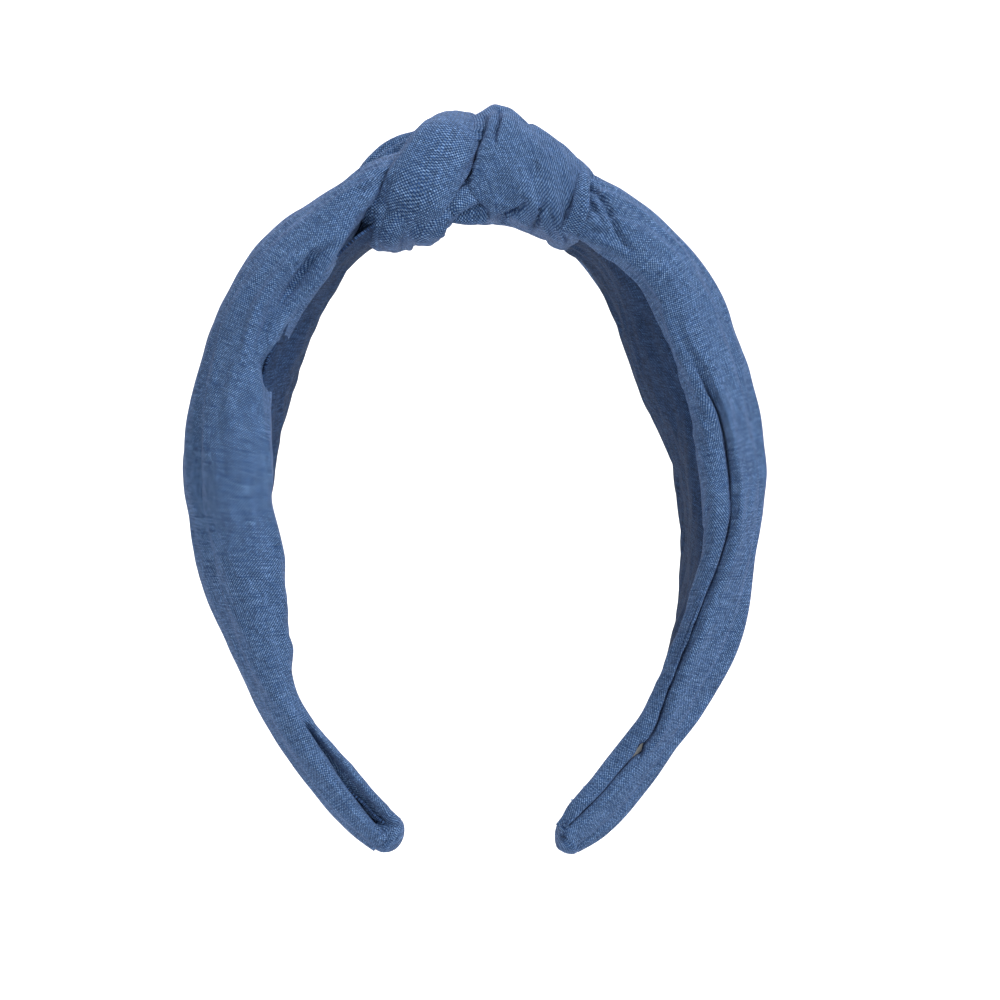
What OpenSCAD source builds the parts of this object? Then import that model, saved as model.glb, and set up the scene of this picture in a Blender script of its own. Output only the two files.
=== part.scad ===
// Knotted headband: a moulded band in a loose cloth cover, with the cover tied in a knot on top.
// +Z is up as worn, +X is the wearer's left, -Y is the front, and the origin is the middle of
// the knot's underside, where the headband sits on the head. Millimetres.

/* [Arch] */
// Radius of the band over the crown of the head
crown_r = 46; // [42:1:50]
// Angle that the crown arc turns on each side of the top
crown_turn = 65.5; // [62:0.5:69]
// Radius of the band beside the temples
side_r = 133; // [110:1:160]
// Angle that the side arc turns
side_turn = 26; // [22:1:30]
// Radius of the band behind the ears
leg_r = 87; // [72:1:104]
// Angle that the leg arc turns
leg_turn = 50; // [44:1:54]

/* [Band] */
// Thickness of the moulded band
band_t = 1.4; // [1.2:0.1:1.7]
// Width of the band over the crown
band_w = 22; // [18:0.5:24]
// Width of the band at its tips
band_tip_w = 9; // [7:0.5:10]
// Distance along the band from the top to each flexing place
flex_s = 36; // [34:0.5:38]
// Radius of the bead that each leg flexes on
flex_bead_r = 1; // [0.9:0.05:1.2]
// Furthest angle that a leg opens outwards
flex_open = 12; // [8:1:14]

/* [Cloth] */
// Thickness of the doubled cover cloth
cover_t = 1.1; // [0.8:0.1:1.3]
// Thickness of the facing cloth on the inside
facing_t = 0.8; // [0.6:0.1:1]
// Width of the facing over the crown
facing_w = 19.5; // [17:0.5:20]
// Width of the facing at its tips
facing_tip_w = 8; // [6:0.5:8.5]

/* [Cover] */
// Distance along the band from the top to where the cover is fullest
full_s = 86; // [76:1:96]
// Half of the cover's depth where it is fullest
full_half = 22; // [18:0.5:25]
// Height of the cover above the band where it is fullest
full_rise = 17; // [14:0.5:20]
// Half of the cover's depth at the tips
tip_half = 6.5; // [6:0.1:8]
// Height of the cover above the band at the tips
tip_rise = 5; // [4:0.1:6]
// How far the cover's two edges are lifted away from the head
rim_lift = 4; // [2:0.5:5]
// Half of the gap between the two hems where the cover is fullest
hem_gap = 8.5; // [6:0.5:9.5]

/* [Knot] */
// Half of the knot's length along the band
knot_half = 28.8; // [28.8:0.1:29.2]
// Height of the knot's top above the band
knot_rise = 25.4; // [23:0.2:29]
// Half of the knot's depth from front to back
knot_depth = 23; // [21:0.5:26]
// Thickness of the cloth pass under the knot
underside_t = 1.3; // [1:0.1:1.6]

/* [Hidden] */
// Space left between pieces that lie on each other
gap = 0.3;
// Running clearance of the flexing bead
flex_gap = 0.06;
// How far the facing, the head and the inside of the cover are below the band's centre line
facing_far = band_t / 2 + gap + facing_t;
apex_z = facing_far + gap + underside_t;
cover_under = facing_far + 0.5 + cover_t;

deg = 180 / PI;
crown_len = crown_r * crown_turn / deg;
side_len = side_r * side_turn / deg;
leg_len = leg_r * leg_turn / deg;
arch_len = crown_len + side_len + leg_len;

// Where each piece ends before the end of the arch
cover_end = arch_len - 3;
band_end = cover_end - 1.5;
facing_end = cover_end - 4;
tuck_end = arch_len + 1.2;
// Where the facing stops on each side of the flexing place
facing_stop = flex_s - 3.6;
facing_start = flex_s + 1.5;

denim = [0.27, 0.37, 0.53];
lining = [0.19, 0.27, 0.40];
plastic = [0.82, 0.82, 0.80];
thread = [0.36, 0.46, 0.62];

// The arch: three tangent arcs on each side. s is the distance from the top along the band, and
// n is the height above the band's centre line, away from the head.
function heading(s) =
    s < crown_len ? s / crown_r * deg
    : s < crown_len + side_len ? crown_turn + (s - crown_len) / side_r * deg
    : crown_turn + side_turn + (s - crown_len - side_len) / leg_r * deg;
function outward(s) = [sin(heading(s)), cos(heading(s))];
crown_c = [0, apex_z - crown_r];
side_c = crown_c + (crown_r - side_r) * outward(crown_len);
leg_c = side_c + (side_r - leg_r) * outward(crown_len + side_len);
function arch(s, n) =
    s < crown_len ? crown_c + (crown_r + n) * outward(s)
    : s < crown_len + side_len ? side_c + (side_r + n) * outward(s)
    : leg_c + (leg_r + n) * outward(s);
function place(s, y, n) = [arch(s, n)[0], y, arch(s, n)[1]];
function mix(a, b, t) = a + (b - a) * t;
flex_at = arch(flex_s, 0);

// Fullness of the cover: 1 at full_s, less by a share at the flexing place, and 0 at the tips
function fullness(s, power, less) =
    s < full_s ? 1 - less * pow((full_s - s) / (full_s - flex_s), 2)
    : pow(max(0, cos(90 * (s - full_s) / (arch_len - full_s))), power);
function cover_half(s) = mix(tip_half, full_half, fullness(s, 2, 0.15));
function cover_rise(s) = mix(tip_rise, full_rise, fullness(s, 2.2, 0.3));
function tapered(s, crown, tip) = mix(crown, tip, max(0, (s - full_s) / (arch_len - full_s)));

// A closed skin over a row of rings with the same number of points. A loop of rings has no ends,
// and a folded ring goes out along one face of a cloth and back along the other.
module loft(rings, loop = false, folded = false) {
    m = len(rings[0]);
    n = len(rings);
    sides = [
        for (i = [0 : n - (loop ? 1 : 2)], j = [0 : m - 1])
            let (next = (i + 1) % n, k = (j + 1) % m)
                [i * m + j, i * m + k, next * m + k, next * m + j]
    ];
    first = folded ? [for (j = [0 : m / 2 - 2]) [m - 1 - j, m - 2 - j, j + 1, j]]
        : [[for (j = [m - 1 : -1 : 0]) j]];
    last = [for (face = first) [for (k = [len(face) - 1 : -1 : 0]) (n - 1) * m + face[k]]];
    ends = loop ? [] : concat(first, last);
    polyhedron([for (ring = rings) each ring], concat(sides, ends), convexity = 6);
}

// A strip that follows the arch between two distances and two heights, cut to a tapered width
module strip(from_s, to_s, low_n, high_n, crown_w, tip_w, round_end) {
    steps = 34;
    stops = [for (i = [0 : steps]) mix(from_s, to_s, i / steps)];
    rounded = crown_w > 0 && round_end;
    function half_w(s) =
        let (w = tapered(abs(s), crown_w, tip_w) / 2, past = (s - to_s + w) / w)
            rounded && past > 0 ? w * sqrt(max(0.02, 1 - past * past)) : w;
    intersection() {
        rotate([90, 0, 0])
            linear_extrude(2 * crown_w, center = true)
                polygon(concat(
                    [for (s = stops) arch(s, high_n)],
                    [for (i = [steps : -1 : 0]) arch(stops[i], low_n)]
                ));
        if (from_s > 0)
            rotate([90, 0, 90])
                linear_extrude(4 * crown_r, center = true)
                    polygon(concat(
                        [[crown_w, apex_z + crown_w], [-crown_w, apex_z + crown_w]],
                        [for (s = stops) [-half_w(s), arch(s, 0)[1]]],
                        [for (i = [steps : -1 : 0]) [half_w(stops[i]), arch(stops[i], 0)[1]]]
                    ));
        else
            cube([4 * crown_r, crown_w, 4 * crown_r], center = true);
    }
}

module on_flex_axis()
    translate([flex_at[0], 0, flex_at[1]])
        rotate([90, 0, 0])
            children();

module base_leg() {
    strip(flex_s, band_end, -band_t / 2, band_t / 2, band_w, band_tip_w, true);
    on_flex_axis() cylinder(h = band_w, r = flex_bead_r, center = true, $fn = 48);
}

module base_crown() color(plastic)
    difference() {
        strip(-flex_s, flex_s, -band_t / 2, band_t / 2, band_w, band_w, false);
        for (side = [0, 1])
            mirror([side, 0, 0])
                on_flex_axis()
                    cylinder(h = band_w + 2, r = flex_bead_r + flex_gap, center = true, $fn = 48);
    }
module base_left_leg() color(plastic) mirror([1, 0, 0]) base_leg();
module base_right_leg() color(plastic) base_leg();

module leg_facing()
    strip(facing_start, facing_end, -facing_far, facing_t - facing_far, facing_w, facing_tip_w,
        true);
module crown_facing() color(lining)
    strip(-facing_stop, facing_stop, -facing_far, facing_t - facing_far, facing_w, facing_w, false);
module left_facing() color(lining) mirror([1, 0, 0]) leg_facing();
module right_facing() color(lining) leg_facing();

// The cover's section is round on the outside and flat on the inside, open between two hems
outside_e = 2 / 2.3;
inside_e = 2 / 5;
function signed_pow(v, e) = sign(v) * pow(abs(v), e);
function cover_point(s, a, inset) =
    let (
        b = cover_half(s) - inset,
        y = b * signed_pow(cos(a), sin(a) < 0 ? inside_e : outside_e),
        n = sin(a) < 0 ? (inset - cover_under) * pow(-sin(a), inside_e)
            : (cover_rise(s) - inset) * pow(sin(a), outside_e)
    ) [y, n + rim_lift * fullness(s, 2, 0.3) * pow(abs(y) / b, 4)];
function hem_angle(s, inset) =
    let (open = mix(0.5, hem_gap, fullness(s, 2, 0.3)))
        -acos(pow(open / (cover_half(s) - inset), 1 / inside_e));

// The cover's upper end is a plane that leans by flex_open, so that it just meets the knot when
// the leg is fully open
end_reach = flex_at[0] - knot_half - 0.5;
end_k = flex_at[0] * cos(flex_open) - (flex_at[1] - crown_c[1]) * sin(flex_open) - end_reach;
function cover_start(n) = crown_r * (flex_open + asin(end_k / (crown_r + n))) / deg;
function cover_place(t, yn) =
    place(mix(cover_start(yn[1]), cover_end, t), yn[0], yn[1]);

cover_rings = 34;
cover_facets = 24;
module leg_cover()
    loft([
        for (i = [0 : cover_rings])
            let (t = i / cover_rings, s = mix(cover_start(0), cover_end, t))
                concat(
                    [for (j = [0 : cover_facets])
                        let (a0 = hem_angle(s, 0))
                            cover_place(t, cover_point(s, mix(a0, 180 - a0, j / cover_facets), 0))],
                    [for (j = [cover_facets : -1 : 0])
                        let (a0 = hem_angle(s, cover_t))
                            cover_place(t,
                                cover_point(s, mix(a0, 180 - a0, j / cover_facets), cover_t))]
                )
    ], folded = true);
module left_cover() color(denim) mirror([1, 0, 0]) leg_cover();
module right_cover() color(denim) leg_cover();

// The end of the cover, folded in and closed below the band's tip
module tip_tuck() {
    from_s = cover_end + gap;
    loft([
        for (i = [0 : 7])
            let (t = i / 7, shrink = 0.96 * sqrt(1 - 0.93 * t * t))
                [for (j = [0 : 23])
                    let (yn = cover_point(arch_len, 15 * j, 0) * shrink)
                        place(mix(from_s, tuck_end, t), yn[0], yn[1])]
    ]);
}
module left_tip_tuck() color(denim) mirror([1, 0, 0]) tip_tuck();
module right_tip_tuck() color(denim) tip_tuck();

stitch_r = 0.28;
stitch_len = 3.4;
stitch_pitch = 4.5;
module tip_stitches()
    for (i = [1 : 4]) {
        at = arch(cover_end - i * stitch_pitch, -cover_under - stitch_r - 0.06);
        translate([at[0], 0, at[1]])
            rotate([90, 0, 0])
                cylinder(h = stitch_len, r = stitch_r, center = true, $fn = 24);
    }
module left_tip_stitches() color(thread) mirror([1, 0, 0]) tip_stitches();
module right_tip_stitches() color(thread) tip_stitches();

// The knot is built in turns about the band. turn is the angle from the top about the crown
// arc's centre, and u goes round a wrap: 0 at the back, 90 on top, 180 in front and -90 below.
wrap_low = -facing_far - gap;
function turned(turn, y, n) =
    [(crown_r + n) * sin(turn), y, crown_c[1] + (crown_r + n) * cos(turn)];
// Value at the bottom, the middle and the top of a wrap, joined by a smooth curve
function around(v, u) =
    v[1] + (v[2] - v[0]) / 2 * sin(u) + ((v[2] + v[0]) / 2 - v[1]) * pow(sin(u), 2);
function wrap_point(u, v, turns, halves, thick, rise, depth, taper) =
    let (
        ht = around(thick, u),
        low = wrap_low - 2 * thick[0],
        mid_n = (rise + low) / 2,
        e = sin(u) < 0 ? 0.42 : 0.85,
        k = 1 + taper * sin(v) * (1 + sin(u)) / 2,
        push = ht * signed_pow(cos(v), 0.8),
        n = mid_n + (((rise - low) / 2 - ht) * k + push) * signed_pow(sin(u), e),
        y = ((depth - ht) * k + push) * signed_pow(cos(u), e)
    ) turned(around(turns, u) + around(halves, u) * signed_pow(sin(v), 0.8) / (crown_r + n) * deg,
        y, n);
module wrap(turns, halves, thick, rise, depth, taper, from_u = 0, to_u = 360) {
    loop = to_u - from_u == 360;
    steps = loop ? 32 : 20;
    loft([
        for (i = [0 : steps - (loop ? 1 : 0)])
            [for (j = [0 : 15])
                wrap_point(mix(from_u, to_u, i / steps), -22.5 * j, turns, halves, thick, rise,
                    depth, taper)]
    ], loop);
}

module knot_left_wrap() color(denim)
    wrap([-27, -11.6, -5.6], [8.5, 10.2, 7.5], [1.7, 3.3, 4.2], knot_rise, knot_depth, 0.1);
module knot_right_wrap() color(denim)
    wrap([16, 14, 13.2], [8.6, 12.2, 11.6], [1.7, 3.3, 4.2], knot_rise - 3.6, knot_depth, -0.28);
module knot_cinch() color(denim)
    wrap([33.6, 30.4, 28], [1.4, 1.7, 1.7], [1.2, 1.8, 2], knot_rise - 11, knot_depth - 3, 0);
module knot_back_loop() color(denim)
    wrap([-27, -27, -23.5], [3.5, 4, 4.4], [2, 3, 3.4], knot_rise - 7, knot_depth - 2, 0,
        20, 125);

// The bunched cloth inside the knot, between the band and the wraps
module knot_core() color(lining)
    loft([
        for (i = [0 : 12])
            let (t = i / 6 - 1, swell = sqrt(1 - 0.9 * t * t), turn = 2 + 18 * t)
                [for (j = [0 : 18])
                    let (a = 180 - 10 * j)
                        turned(turn, 15 * swell * cos(a),
                            band_t / 2 + gap + (knot_rise - 15.5) * swell * sin(a))]
    ]);
// The pass of cloth that lies against the head between the wraps
module knot_underside() color(lining)
    rotate([90, 0, 0])
        linear_extrude(facing_w - 2, center = true)
            polygon(concat(
                [for (a = [-13 : 1.5 : 2]) arch(a / deg * crown_r, -facing_far - gap)],
                [for (a = [2 : -1.5 : -13]) arch(a / deg * crown_r, -facing_far - gap - underside_t)]
            ));

base_crown();
base_left_leg();
base_right_leg();
crown_facing();
left_facing();
right_facing();
left_cover();
right_cover();
left_tip_tuck();
right_tip_tuck();
left_tip_stitches();
right_tip_stitches();
knot_core();
knot_underside();
knot_left_wrap();
knot_right_wrap();
knot_cinch();
knot_back_loop();
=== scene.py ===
"""Knotted headband: the looks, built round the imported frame.

A moulded band is covered by one doubled strip of chambray that is tied in a knot on top. Lengths in
this file are millimetres along and across the cloth, and a mesh is made in metres at the last step.
s is the distance along the band from the top, n the height above the band's centre line (away from
the head) and y the distance towards the back.
"""

import math

import bpy
import numpy as np
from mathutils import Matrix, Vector


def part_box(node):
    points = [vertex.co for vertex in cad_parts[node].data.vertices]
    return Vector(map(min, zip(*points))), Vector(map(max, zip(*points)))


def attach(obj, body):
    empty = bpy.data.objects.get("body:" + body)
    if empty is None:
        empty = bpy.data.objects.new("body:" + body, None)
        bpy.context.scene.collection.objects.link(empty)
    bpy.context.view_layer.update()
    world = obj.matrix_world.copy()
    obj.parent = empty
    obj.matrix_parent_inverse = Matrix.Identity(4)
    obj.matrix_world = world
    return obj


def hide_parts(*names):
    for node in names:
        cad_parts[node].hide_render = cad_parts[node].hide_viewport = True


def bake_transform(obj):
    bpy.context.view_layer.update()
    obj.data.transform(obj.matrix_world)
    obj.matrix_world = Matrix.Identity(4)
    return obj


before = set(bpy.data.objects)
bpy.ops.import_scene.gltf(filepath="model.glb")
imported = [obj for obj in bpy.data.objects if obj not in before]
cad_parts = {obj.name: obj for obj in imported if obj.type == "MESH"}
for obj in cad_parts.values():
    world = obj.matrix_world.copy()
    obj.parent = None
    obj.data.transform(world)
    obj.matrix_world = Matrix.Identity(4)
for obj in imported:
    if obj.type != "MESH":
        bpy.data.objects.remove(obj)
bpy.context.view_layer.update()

MM = 0.001
LEFT = -1
RIGHT = 1

# The arch: three tangent arcs on each side
CROWN_R = 46.0
CROWN_TURN = math.radians(65.5)
SIDE_R = 133.0
SIDE_TURN = math.radians(26)
LEG_R = 87.0
LEG_TURN = math.radians(50)
BAND_HALF_T = 0.7
APEX_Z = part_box("base_crown")[1].z / MM - BAND_HALF_T
CROWN_LEN = CROWN_R * CROWN_TURN
SIDE_LEN = SIDE_R * SIDE_TURN

# The cloth
COVER_T = 0.9
LINING_T = 0.7
# The lining stays this far below the band's centre line, clear of the band
UNDER_BAND = -1.5
WEAVE_PITCH = 0.3
# Ends of the flexing place along the band; the points there are worked out, but the cover is not bent
BLEND_FROM_S = 27
BLEND_TO_S = 66
KNOT_HEART = np.array([0.0, 0.0, 9.0])


# ---------------------------------------------------------------- lines and places


def arch_place(side, s, y, n):
    """Points at distance s along one leg, y towards the back and n away from the head."""
    s, y, n = np.broadcast_arrays(s, y, n)
    crown_c = np.array([0.0, APEX_Z - CROWN_R])
    turn_1 = np.array([math.sin(CROWN_TURN), math.cos(CROWN_TURN)])
    side_c = crown_c + (CROWN_R - SIDE_R) * turn_1
    turn = CROWN_TURN + SIDE_TURN
    leg_c = side_c + (SIDE_R - LEG_R) * np.array([math.sin(turn), math.cos(turn)])
    on_crown = s < CROWN_LEN
    on_side = (s >= CROWN_LEN) & (s < CROWN_LEN + SIDE_LEN)
    angle = np.where(
        on_crown,
        s / CROWN_R,
        np.where(on_side, CROWN_TURN + (s - CROWN_LEN) / SIDE_R, turn + (s - CROWN_LEN - SIDE_LEN) / LEG_R),
    )
    radius = np.where(on_crown, CROWN_R, np.where(on_side, SIDE_R, LEG_R)) + n
    cx = np.where(on_crown, crown_c[0], np.where(on_side, side_c[0], leg_c[0]))
    cz = np.where(on_crown, crown_c[1], np.where(on_side, side_c[1], leg_c[1]))
    return np.stack([side * (cx + radius * np.sin(angle)), y, cz + radius * np.cos(angle)], -1)


def keyed(rows, at):
    """The smooth line through rows of (place, value, ...), without overshoot, read at places."""
    rows = np.array(rows, float)
    x, v = rows[:, 0], rows[:, 1:]
    gap = np.diff(x)[:, None]
    rise = np.diff(v, axis=0) / gap
    slope = np.zeros_like(v)
    same = rise[:-1] * rise[1:] > 0
    total = rise[:-1] + rise[1:]
    slope[1:-1] = np.where(same, 2 * rise[:-1] * rise[1:] / np.where(same, total, 1), 0)
    slope[0], slope[-1] = rise[0], rise[-1]
    at = np.clip(np.asarray(at, float), x[0], x[-1])
    i = np.clip(np.searchsorted(x, at, side="right") - 1, 0, len(x) - 2)
    h = (x[i + 1] - x[i])[..., None]
    t = (at - x[i])[..., None] / h
    line = (
        (2 * t**3 - 3 * t**2 + 1) * v[i]
        + (t**3 - 2 * t**2 + t) * h * slope[i]
        + (3 * t**2 - 2 * t**3) * v[i + 1]
        + (t**3 - t**2) * h * slope[i + 1]
    )
    return line[..., 0] if v.shape[1] == 1 else line


def through(points, steps, looped=False):
    """A smooth curve through points along the second-last axis, with steps samples a span."""
    p = np.asarray(points, float)
    if looped:
        p = np.concatenate([p[..., -1:, :], p, p[..., :2, :]], -2)
    span = np.diff(p, axis=-2)
    d = np.maximum(np.linalg.norm(span, axis=-1, keepdims=True), 0.05)
    rate = span / d
    slope = np.empty_like(p)
    slope[..., 1:-1, :] = (rate[..., :-1, :] * d[..., 1:, :] + rate[..., 1:, :] * d[..., :-1, :]) / (
        d[..., 1:, :] + d[..., :-1, :]
    )
    slope[..., 0, :], slope[..., -1, :] = rate[..., 0, :], rate[..., -1, :]
    t = (np.arange(steps) / steps)[:, None]
    a, b = p[..., :-1, None, :], p[..., 1:, None, :]
    h = d[..., None, :]
    line = (
        (2 * t**3 - 3 * t**2 + 1) * a
        + (t**3 - 2 * t**2 + t) * h * slope[..., :-1, None, :]
        + (3 * t**2 - 2 * t**3) * b
        + (t**3 - t**2) * h * slope[..., 1:, None, :]
    )
    line = line.reshape(*p.shape[:-2], -1, p.shape[-1])
    if looped:
        return line[..., steps:-steps, :]
    return np.concatenate([line, p[..., -1:, :]], -2)


def ripples(along, across, long, wide, seed):
    """Soft uneven waves of height -1 to 1 over two distances, each about long by wide."""
    rng = np.random.default_rng(seed)
    total = np.zeros(np.broadcast(along, across).shape)
    for _ in range(7):
        k_long = rng.uniform(0.5, 1.6) / long * math.tau
        k_wide = rng.uniform(0.5, 1.6) / wide * math.tau * rng.choice([-1, 1])
        total = total + np.sin(k_long * along + k_wide * across + rng.uniform(0, math.tau))
    return total / 3.2


def surface_normals(grid, looped_rows=False, looped_cols=False):
    """Unit normals of a grid of points, rows crossed with columns."""

    def change(axis, looped):
        if looped:
            return np.roll(grid, -1, axis) - np.roll(grid, 1, axis)
        return np.gradient(grid, axis=axis)

    n = np.cross(change(0, looped_rows), change(1, looped_cols))
    return n / np.maximum(np.linalg.norm(n, axis=-1, keepdims=True), 1e-9)


def soft_normals(grid):
    """Unit normals of a cloth grid, averaged across it so that close columns don't disturb them."""
    wide = np.pad(grid, ((0, 0), (4, 4), (0, 0)), mode="reflect", reflect_type="odd")
    total = np.cumsum(wide, axis=1)
    total = np.concatenate([np.zeros_like(total[:, :1]), total], 1)
    return surface_normals((total[:, 9:] - total[:, :-9]) / 9)


def near_line(points, line):
    """Distance of points from a line in the front view, and how far along it they are, 0 to 1."""
    line = np.asarray(line, float)
    flat = points[..., (0, 2)]
    best = np.full(flat.shape[:-1], 1e9)
    along = np.zeros(flat.shape[:-1])
    spans = len(line) - 1
    for i in range(spans):
        a, b = line[i], line[i + 1]
        t = np.clip(((flat - a) @ (b - a)) / ((b - a) @ (b - a)), 0, 1)
        d = np.linalg.norm(flat - (a + t[..., None] * (b - a)), axis=-1)
        closer = d < best
        best = np.where(closer, d, best)
        along = np.where(closer, (i + t) / spans, along)
    return best, along


def creased(grid, line, depth, width, back=False, fade=(0.0, 0.25), normals=None, **loops):
    """The grid pressed in along a line of the front view, or of the back, with ends that fade out."""
    line = through(np.array(line, float), 6)
    d, t = near_line(grid, line)
    start = np.clip(t / fade[0], 0, 1) if fade[0] else 1
    end = np.clip((1 - t) / fade[1], 0, 1) if fade[1] else 1
    faces = grid[..., 1] > 0 if back else grid[..., 1] < 0
    push = depth * np.exp(-((d / width) ** 2)) * start * end * faces
    if normals is None:
        normals = surface_normals(grid, **loops)
    return grid - push[..., None] * normals


# ---------------------------------------------------------------- meshes


def make_mesh(name, points, faces, uvs):
    """A smooth-shaded mesh object at the origin, with its own weave map in metres."""
    mesh = bpy.data.meshes.new(name)
    mesh.from_pydata((points * MM).tolist(), [], faces)
    mesh.update()
    loop_points = np.empty(len(mesh.loops), np.int32)
    mesh.loops.foreach_get("vertex_index", loop_points)
    layer = mesh.uv_layers.new(name="weave")
    layer.data.foreach_set("uv", (uvs[loop_points] * MM).astype(np.float32).ravel())
    mesh.polygons.foreach_set("use_smooth", np.ones(len(mesh.polygons), bool))
    piece = bpy.data.objects.new(name, mesh)
    bpy.context.scene.collection.objects.link(piece)
    return piece


def grid_faces(rows, cols, looped_rows, looped_cols, first=0, flipped=False):
    faces = []
    for i in range(rows if looped_rows else rows - 1):
        for j in range(cols if looped_cols else cols - 1):
            a, b = i * cols + j, i * cols + (j + 1) % cols
            c, d = ((i + 1) % rows) * cols + (j + 1) % cols, ((i + 1) % rows) * cols + j
            face = (a, b, c, d) if flipped else (d, c, b, a)
            faces.append(tuple(first + k for k in face))
    return faces


def sheet_piece(name, grid, uv, thickness):
    """A cloth with two faces and closed edges. grid is its outer face, with normals outwards."""
    rows, cols = grid.shape[:2]
    inner = grid - thickness * soft_normals(grid)
    points = np.concatenate([grid.reshape(-1, 3), inner.reshape(-1, 3)])
    count = rows * cols
    faces = grid_faces(rows, cols, False, False, 0, False)
    faces += grid_faces(rows, cols, False, False, count, True)
    edge = [j for j in range(cols)]
    edge += [i * cols + cols - 1 for i in range(1, rows)]
    edge += [(rows - 1) * cols + j for j in range(cols - 2, -1, -1)]
    edge += [i * cols for i in range(rows - 2, 0, -1)]
    for a, b in zip(edge, edge[1:] + edge[:1]):
        faces.append((count + b, count + a, a, b))
    return make_mesh(name, points, faces, np.concatenate([uv.reshape(-1, 2)] * 2))


def roll_mesh(grid, uv, looped_rows):
    """Points, faces and weave of a closed roll: rings of points, capped unless the rings loop."""
    rows, cols = grid.shape[:2]
    faces = grid_faces(rows, cols, looped_rows, True, 0, False)
    points, uvs = grid.reshape(-1, 3), uv.reshape(-1, 2)
    if not looped_rows:
        middle = len(points)
        points = np.concatenate([points, grid[:1].mean(1), grid[-1:].mean(1)])
        uvs = np.concatenate([uvs, uv[:1].mean(1), uv[-1:].mean(1)])
        last = (rows - 1) * cols
        for j in range(cols):
            k = (j + 1) % cols
            faces.append((k, middle, j))
            faces.append((last + j, middle + 1, last + k))
    return points, faces, uvs


def roll_piece(name, rolls):
    """One piece made of closed rolls, each a (grid, weave, looped) of its own."""
    points, faces, uvs = [], [], []
    count = 0
    for grid, uv, looped in rolls:
        p, f, u = roll_mesh(grid, uv, looped)
        points.append(p)
        uvs.append(u)
        faces += [tuple(k + count for k in face) for face in f]
        count += len(p)
    return make_mesh(name, np.concatenate(points), faces, np.concatenate(uvs))


def lengths(grid, axis):
    """Distances along one axis of a grid, from its first row or column."""
    step = np.linalg.norm(np.diff(grid, axis=axis), axis=-1)
    total = np.cumsum(step, axis=axis)
    return np.concatenate([np.zeros_like(np.take(total, [0], axis)), total], axis)


# ---------------------------------------------------------------- cover and lining of each leg

ROWS = 270
SPAN_STEPS = 9
COVER_FROM_S = 13.0
COVER_TO_S = 188.5

# Half of each cover's depth along the leg: the right one is held tighter where it leaves the knot
LEG_HALF = [(45, 22.9), (92, 22.9), (112, 20.3), (135, 15.5), (160, 10.5), (178, 8.4), (188.5, 6.9)]
COVER_HALF = {
    LEFT: [(13, 13.6), (18, 17.2), (24, 20.3), (32, 22.3), *LEG_HALF],
    RIGHT: [(13, 8.6), (18, 11.8), (22, 14.8), (26, 18.2), (31, 20.8), (36, 22.2), *LEG_HALF],
}

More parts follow.
